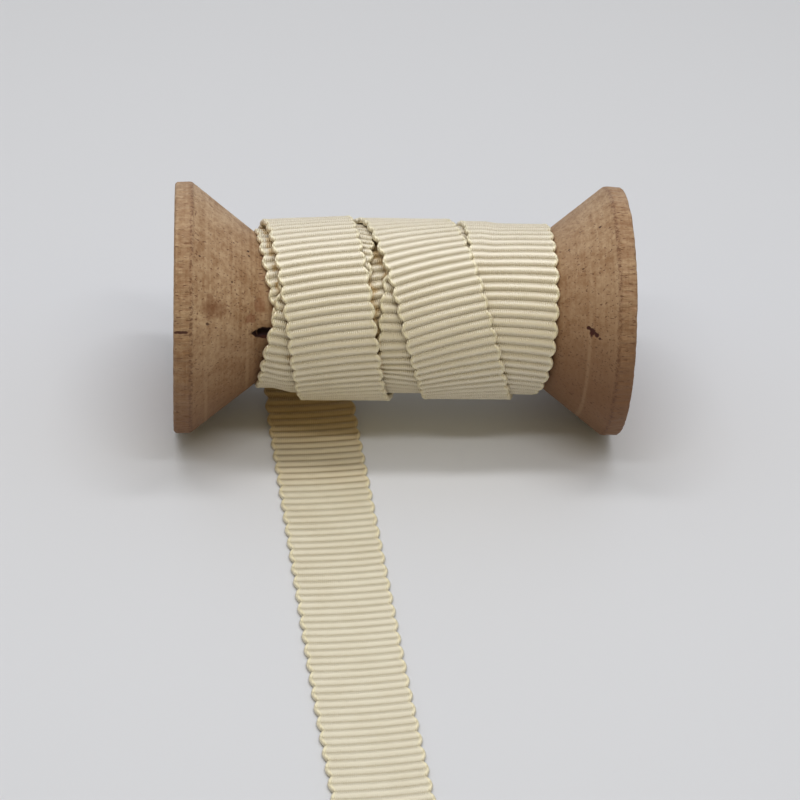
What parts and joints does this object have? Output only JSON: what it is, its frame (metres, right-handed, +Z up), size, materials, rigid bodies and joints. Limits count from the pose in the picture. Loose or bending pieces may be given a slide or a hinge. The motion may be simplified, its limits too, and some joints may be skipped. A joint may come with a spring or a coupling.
{
  "type": "spool of petersham ribbon",
  "caption": "Turned wooden spool lying on its side, wound with cream ribbed petersham ribbon whose loose end runs out flat in front.",
  "frame": {"origin": "middle of the bottom of the whole object's box, on the surface that it lies on", "axes": "+X along the spool's axis to its right end, -Y towards the loose end of the ribbon, +Z up"},
  "size_m": [0.07, 0.1176, 0.0391],
  "materials": {
    "wood": "bare turned beech, unvarnished, with pores and faint turning marks",
    "ribbon": "cream ribbed petersham with a soft sheen on its ribs"
  },
  "bodies": {
    "root": {"spool_bobbin": "wood", "ribbon_roll": "ribbon", "ribbon_tail": "ribbon"}
  },
  "joints": []
}
